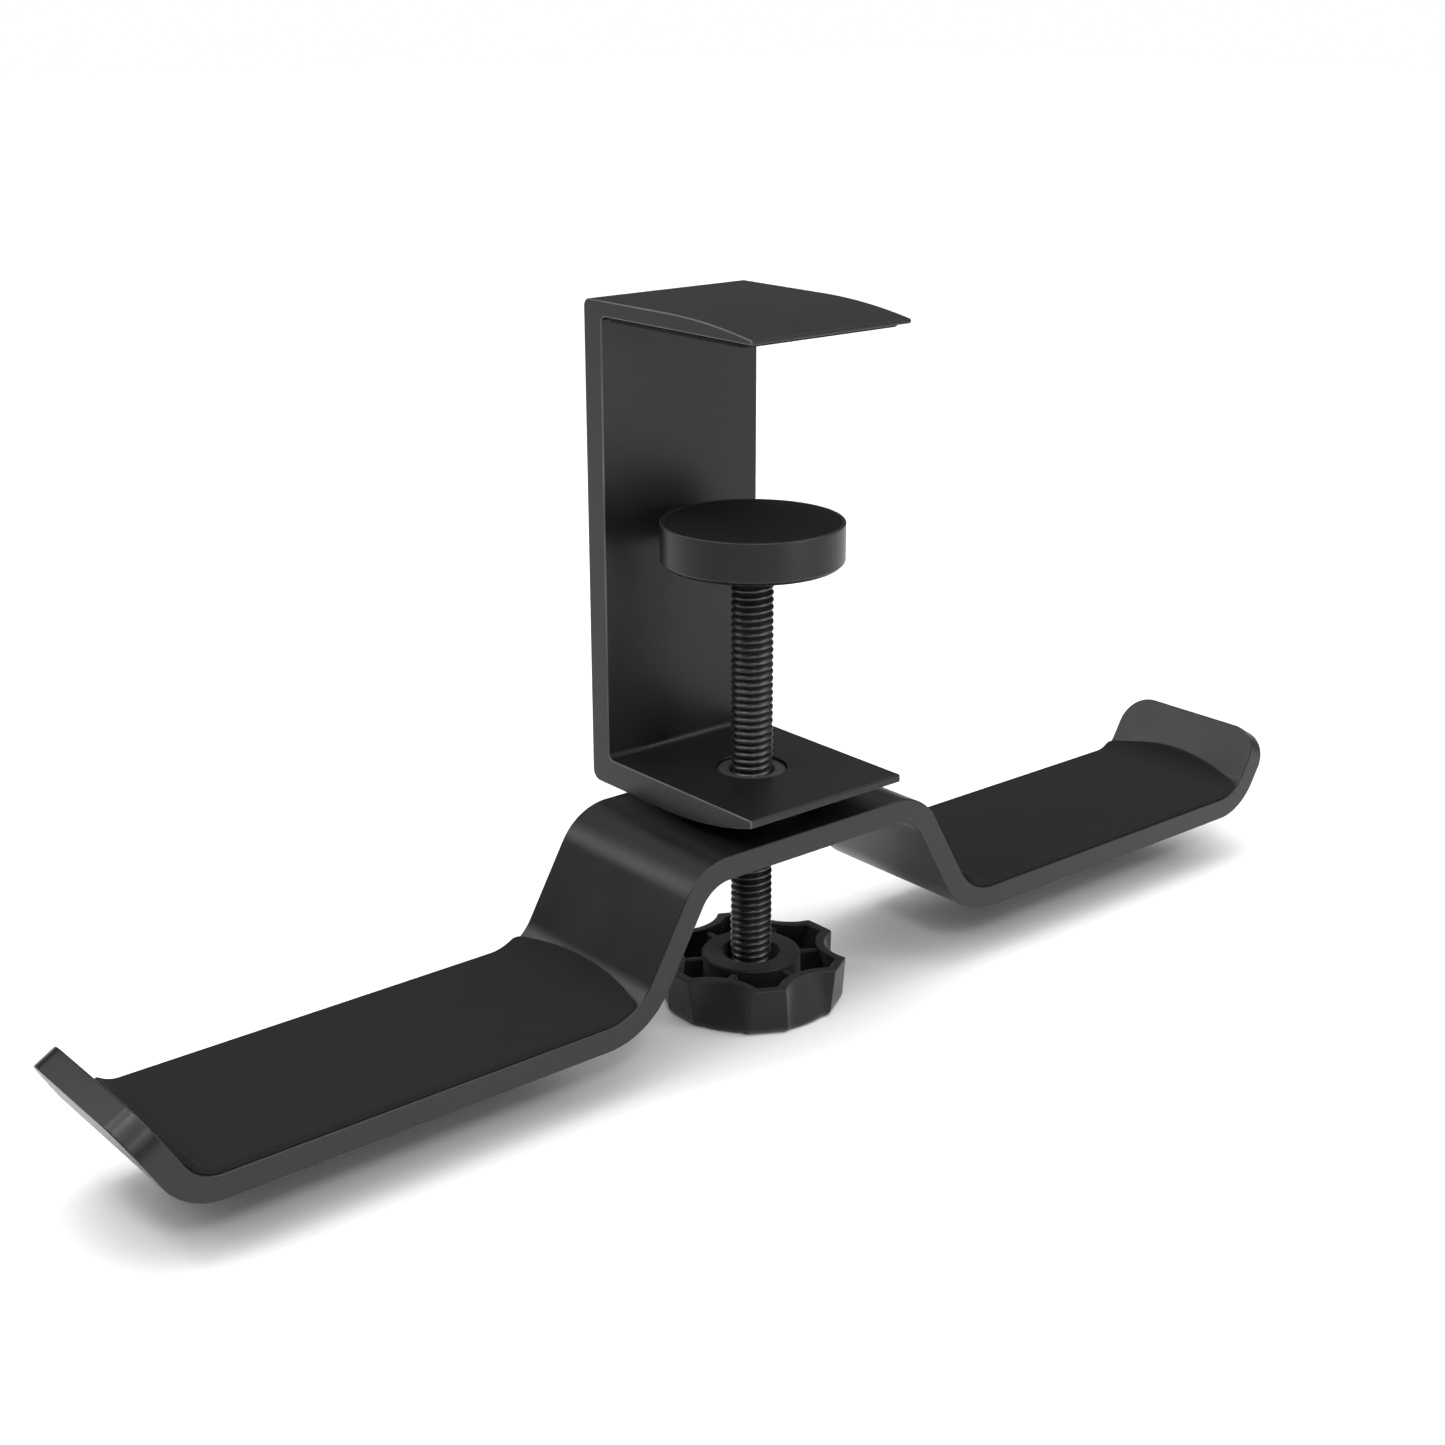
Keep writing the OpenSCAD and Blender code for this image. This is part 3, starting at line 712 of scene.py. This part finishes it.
def buildScrew():
    low, high = span("clamp_screw")
    shoulder = span("screw_washer")[0].z
    clipLow, clipHigh = span("disc_clip")
    lockLow = span("knob_lock_ring")[0].z
    radius = screw["radius"]
    start = lockLow - 0.9
    thread = looseObject(bmesh.new(), "clampScrew")
    tree, ids = threadTree()
    runTree(thread, tree, ids, {
        "Radius": radius * mm, "Depth": screw["depth"] * mm, "Pitch": screw["pitch"] * mm, "Low": start * mm,
        "High": shoulder * mm, "Lead": screw["lead"] * mm, "Crest power": screw["crestPower"],
        "Columns": screw["columns"], "Rows a turn": screw["rowsPerTurn"], "Material": finishes["oiledSteel"]})
    core = bmesh.new()
    neck, groove, headTop = screw["neckRadius"], screw["neckGroove"], low.z + screw["headHeight"]
    lathe(core, [(0, shoulder - 3, 0), (neck, shoulder - 3, 0), (neck, clipLow.z, 0), (groove, clipLow.z, 0),
                 (groove, clipHigh.z, 0), (neck, clipHigh.z, 0), (neck, high.z, 0.35), (0, high.z, 0)], 48)
    shank = bmesh.new()
    lathe(shank, [(0, headTop - 1, 0), (radius, headTop - 1, 0), (radius, start + 0.5, 0.2),
                  (0, start + 0.5, 0)], 72)
    head = bmesh.new()
    reach = screw["headAcross"] / math.sqrt(3)
    turns = [k * math.pi / 3 for k in range(6)]
    hexagon = [Vector((reach * math.cos(a), reach * math.sin(a))) for a in turns]
    slab(head, hexagon, low.z, headTop, 0.4, 0.2, 2)
    others = [looseObject(core, "neck"), looseObject(shank, "shank"), looseObject(head, "head")]
    combine(thread, others, "UNION")
    steel = finishes["oiledSteel"]
    finishPiece(thread, steel, "dark_steel", "screw", "clamp_screw", sharp=75, weighted=False)


# The star knob.
knob = dict(lobes=6, scallopRadius=9.4, scallopAt=25.5, wall=2.0, draft=0.9, footRadius=19.0, footHalf=4.3,
            floor=1.5, rimEdge=0.35, lowerEdge=1.8, lobeCorner=0.5, hubRadius=10.4, hubHole=6.0, hubEdge=0.55,
            ribThickness=1.5, ribDrop=0.9, ribEdge=0.35, webDrop=3.8, webThickness=1.6, shaftHole=4.35,
            headRoom=7.52, capSeat=9.25, capDepth=1.0, scallopSteps=12)


# The knob's outline at a share of its height, drawn in by a distance: at the rim a star with hollow
# scallops, at the foot nearly round.
def knobLoop(share, drawn, z):
    flat = span("knob")[1].x - drawn - knob["draft"] * (1 - share)
    reach = knob["scallopRadius"] + drawn
    middle = math.pi / knob["lobes"]
    centre = knob["scallopAt"] * Vector((math.cos(middle), math.sin(middle)))
    flatHalf = centre.y - math.sqrt(reach ** 2 - (centre.x - flat) ** 2)
    footHalf = knob["footHalf"] * (1 - drawn / 30)
    half = flatHalf * share + footHalf * (1 - share)
    end = Vector((flat, half))
    far = Matrix.Rotation(2 * middle, 2) @ Vector((flat, -half))
    foot = knob["footRadius"] - drawn
    points = [Vector((flat, 0))]
    for k in range(knob["scallopSteps"] + 1):
        part = k / knob["scallopSteps"]
        straight = end.lerp(far, part)
        angle = math.atan2(straight.y, straight.x)
        ray = Vector((math.cos(angle), math.sin(angle)))
        along = ray.dot(centre)
        hollow = along - math.sqrt(max(reach ** 2 - centre.length_squared + along ** 2, 0.0))
        rounder = straight.length + (foot - straight.length) * min(1.0, 12 * part * (1 - part))
        points.append(ray * (hollow * share + rounder * (1 - share)))
    points[1], points[-1] = end, far
    corners = [(p.x, p.y, 0) for p in points]
    corners[1] = (end.x, end.y, knob["lobeCorner"])
    corners[-1] = (far.x, far.y, knob["lobeCorner"])
    loop = []
    for lobe in range(knob["lobes"]):
        turn = Matrix.Rotation(2 * middle * lobe, 2)
        loop += [(*(turn @ Vector(c[:2])), c[2]) for c in corners]
    return [(p.x, p.y, z) for p in rounded(loop, 2)]


# The same number of points on a circle, at the same angles.
def knobCircle(radius, z):
    circle = []
    for x, y, _ in knobLoop(1, 0, z):
        share = radius / math.hypot(x, y)
        circle.append((x * share, y * share, z))
    return circle


def buildKnob():
    low, high = span("knob")
    height = high.z - low.z
    wall, edge, foot = knob["wall"], knob["rimEdge"], knob["lowerEdge"]
    web, hub, hole = high.z - knob["webDrop"], knob["hubRadius"], knob["hubHole"]
    floor, hubEdge = low.z + knob["floor"], knob["hubEdge"]
    quarter = [math.pi / 2 * k / 4 for k in range(5)]
    loops, paintedHighlight = [], []

    # the value given with each loop marks the knob's rims for a painted highlight
    def outline(z, drawn, value=0.0):
        loops.append(knobLoop((z - low.z) / height, drawn, z))
        paintedHighlight.append(value)

    def circle(radius, z, value=0.0):
        loops.append(knobCircle(radius, z))
        paintedHighlight.append(value)

    for a in quarter:
        outline(low.z + foot * (1 - math.cos(a)), foot * (1 - math.sin(a)))
    for k in range(1, 5):
        outline(low.z + foot + (height - foot - edge) * k / 5, 0)
    for a in quarter:
        outline(high.z - edge * (1 - math.sin(a)), edge * (1 - math.cos(a)), math.sin(2 * a))
    for a in reversed(quarter):
        outline(high.z - edge * (1 - math.sin(a)), wall - edge * (1 - math.cos(a)), math.sin(2 * a))
    for k in range(1, 4):
        outline(high.z - edge - (high.z - edge - floor - 0.6) * k / 3, wall)
    outline(floor + 0.15, wall + 0.45)
    outline(floor, wall + 1.0)
    circle(hub + 0.7, floor)
    circle(hub + 0.15, floor + 0.5)
    for a in quarter:
        circle(hub - hubEdge * (1 - math.cos(a)), high.z - hubEdge * (1 - math.sin(a)), 0.6 * math.sin(2 * a))
    for a in reversed(quarter):
        circle(hole + 0.3 * (1 - math.cos(a)), high.z - 0.3 * (1 - math.sin(a)), 0.5 * math.sin(2 * a))
    webLow, capTop = web - knob["webThickness"], low.z + knob["capDepth"]
    for radius, z in ((hole, web), (knob["shaftHole"], web), (knob["shaftHole"], webLow),
                      (knob["headRoom"], webLow), (knob["headRoom"], capTop),
                      (knob["capSeat"], capTop), (knob["capSeat"], low.z)):
        circle(radius, z)
    bm = bmesh.new()
    skin(bm, loops, "ring", paintedHighlight)
    obj = looseObject(bm, "starKnob")
    rib = bmesh.new()
    reach = knob["scallopAt"] - knob["scallopRadius"] - wall / 2
    half = knob["ribThickness"] / 2
    corners = [(hub - 0.8, -half), (reach, -half), (reach, half), (hub - 0.8, half)]
    slab(rib, [Vector(c) for c in corners], low.z + 0.7, high.z - knob["ribDrop"], 0.0, knob["ribEdge"], 3)
    for vert in rib.verts:        # the wall leans out towards the foot, and the rib's end follows it
        if vert.co.x > reach - 0.6:
            vert.co.x += 2.6 * (high.z - vert.co.z) / height
    ribs = looseObject(rib, "knobRibs")
    tree, ids = repeatTree()
    runTree(ribs, tree, ids, {"Count": knob["lobes"], "First angle": math.pi / knob["lobes"],
                              "Material": finishes["mouldedNylon"]})
    combine(obj, [ribs], "UNION")
    finishPiece(obj, finishes["mouldedNylon"], "black_nylon", "screw", "knob", sharp=34)
    return tree, ids


def buildKnobCap():
    low, high = span("knob_cap")
    radius = high.x
    bm = bmesh.new()
    groove = low.z + 0.25        # a shallow ring near the cap's edge
    lathe(bm, [(0, low.z, 0), (radius - 1.8, low.z, 0), (radius - 1.6, groove, 0), (radius - 1.4, groove, 0),
               (radius - 1.2, low.z, 0), (radius, low.z, 0.25), (radius, high.z, 0), (0, high.z, 0)])
    finishPiece(looseObject(bm, "knobCap"), finishes["mouldedNylon"], "cap_plastic", "screw", "knob_cap")


# A push-on lock ring: a dished ring with inner teeth.
def buildLockRing(tree, ids):
    low, high = span("knob_lock_ring")
    bm = bmesh.new()
    lathe(bm, [(4.95, low.z, 0), (high.x, low.z, 0), (high.x, high.z - 0.1, 0.08), (4.95, high.z, 0.1)], 72)
    ring = looseObject(bm, "knobLockRing")
    tooth = bmesh.new()
    outline = [Vector((4.36, -0.75)), Vector((5.2, -0.95)), Vector((5.2, 0.95)), Vector((4.36, 0.75))]
    slab(tooth, outline, low.z + 0.05, high.z - 0.12, 0.0, 0.08, 2)
    teeth = looseObject(tooth, "lockTeeth")
    runTree(teeth, tree, ids, {"Count": 10, "First angle": 0.0, "Material": finishes["oiledSteel"]})
    combine(ring, [teeth], "UNION")
    finishPiece(ring, finishes["oiledSteel"], "dark_steel", "screw", "knob_lock_ring")


buildBracket()
buildJawPad()
print("clamp done")
buildBush()
buildWaveSpring()
clear = bush["clearRadius"]
buildRing("retainingWasher", "retaining_washer", clear, 0.12, "turnedSteel", "bush_steel", "clamp")
buildCirclip("retainingRing", "retaining_ring", bush["grooveRadius"], "clamp")
buildPivotBush()
buildRing("thrustWasher", "thrust_washer", clear, 0.15, "bearingNylon", "bearing_nylon", "hook")
print("swivel done")
buildHookBar()
buildArmPad("hookPadRight", "hook_pad_right", 1)
buildArmPad("hookPadLeft", "hook_pad_left", -1)
print("hook done")
buildDisc()
buildScrew()
buildRing("screwWasher", "screw_washer", disc["neckHole"], 0.12, "turnedSteel", "bush_steel", "screw")
buildCirclip("discClip", "disc_clip", screw["neckGroove"], "screw")
roundTree, roundIds = buildKnob()
buildKnobCap()
buildLockRing(roundTree, roundIds)
print("screw and knob done")

for film in ("jaw_pad_film", "hook_pad_film_left", "hook_pad_film_right", "disc_pad_film"):
    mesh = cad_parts[film].data
    mesh.materials.clear()
    mesh.materials.append(finishes["adhesiveFilm"])


# Floor, light and camera. Each lobe of light is a direction, a sharpness and a strength.
studio = dict(floorSize=8.0, floorColour=0.93, lobes=(
    ((0.0, 0.0, 1.0), 6.0, 4.7),
    ((-1.0, 0.0, 0.3), 5.0, 0.1),
    ((0.6, 0.7, 0.35), 10.0, 0.16)))
lens = dict(place=(-0.27132, -0.31363, 0.06472), tilt=70.691, turn=-40.037, focal=53.88)

# Name, place, target, size and power of each softbox.
softboxes = [
    ("keySoftbox", (0.9, -1.1, 1.0), (0.05, -0.1, -0.1), 0.9, 7.8),
    ("lowSoftbox", (0.2, -0.8, 0.02), (0, 0, -0.06), 0.3, 2.2),
    ("fillSoftbox", (-0.3, -0.5, 0.35), (0, 0, -0.08), 0.1, 0.9),
    ("topSoftbox", (-0.52, 0.2, 0.75), (-0.14, 0, -0.11), 0.14, 1.2),
    ("backSoftbox", (-0.6, 0.7, 0.5), (0, 0, -0.1), 0.4, 2.2)]


def buildFloor():
    level = span("knob")[0].z * mm
    half = studio["floorSize"] / 2
    mesh = bpy.data.meshes.new("floor")
    corners = [(-half, -half, level), (half, -half, level), (half, half, level), (-half, half, level)]
    mesh.from_pydata(corners, [], [(0, 1, 2, 3)])
    floor = bpy.data.objects.new("floor", mesh)
    bpy.context.scene.collection.objects.link(floor)
    material = bpy.data.materials.new("floorPaint")
    material.use_nodes = True
    tree = material.node_tree
    place = addNode(tree, "ShaderNodeTexCoord").outputs["Object"]
    cloud = addNode(tree, "ShaderNodeTexNoise", {"Vector": place, "Scale": 3.0})
    ramp = addNode(tree, "ShaderNodeValToRGB", {"Fac": cloud.outputs[0]})
    shade = studio["floorColour"]
    ramp.color_ramp.elements[0].color = (shade - 0.01, shade - 0.01, shade - 0.01, 1)
    ramp.color_ramp.elements[1].color = (shade, shade, shade, 1)
    shader = tree.nodes["Principled BSDF"]
    tree.links.new(ramp.outputs[0], shader.inputs["Base Color"])
    shader.inputs["Roughness"].default_value = 0.8
    shader.inputs["Specular IOR Level"].default_value = 0.1
    mesh.materials.append(material)


# The studio: soft lobes of light round a dim room, and a plain white backdrop for the camera itself.
def buildWorld():
    world = bpy.data.worlds.new("studio")
    world.use_nodes = True
    bpy.context.scene.world = world
    tree = world.node_tree
    direction = addNode(tree, "ShaderNodeTexCoord").outputs["Generated"]
    level = 0.0
    for place, sharpness, strength in studio["lobes"]:
        facing = addNode(tree, "ShaderNodeVectorMath", {0: direction, 1: Vector(place).normalized()},
                         operation="DOT_PRODUCT").outputs["Value"]
        lobe = calc(tree, "POWER", calc(tree, "MAXIMUM", facing, 0.0), sharpness)
        level = calc(tree, "MULTIPLY_ADD", lobe, strength, level)
    seen = addNode(tree, "ShaderNodeLightPath").outputs["Is Camera Ray"]
    tree.nodes["Background"].inputs["Color"].default_value = (1, 1, 1, 1)
    tree.links.new(calc(tree, "MAXIMUM", level, seen), tree.nodes["Background"].inputs["Strength"])


def buildLight(name, place, target, size, power):
    light = bpy.data.lights.new(name, "AREA")
    light.size = size
    light.energy = power
    obj = bpy.data.objects.new(name, light)
    obj.location = place
    obj.rotation_euler = (Vector(target) - Vector(place)).to_track_quat("-Z", "Y").to_euler()
    obj.visible_camera = False
    bpy.context.scene.collection.objects.link(obj)


def buildCamera():
    data = bpy.data.cameras.new("camera")
    data.lens = lens["focal"]
    data.sensor_width = 36.0
    data.clip_start = 0.01
    data.clip_end = 100.0
    obj = bpy.data.objects.new("camera", data)
    obj.location = lens["place"]
    obj.rotation_euler = (math.radians(lens["tilt"]), 0, math.radians(lens["turn"]))
    bpy.context.scene.collection.objects.link(obj)
    bpy.context.scene.camera = obj


buildFloor()
buildWorld()
for softbox in softboxes:
    buildLight(*softbox)
buildCamera()
bpy.context.scene.view_settings.view_transform = "Standard"
print("studio done")
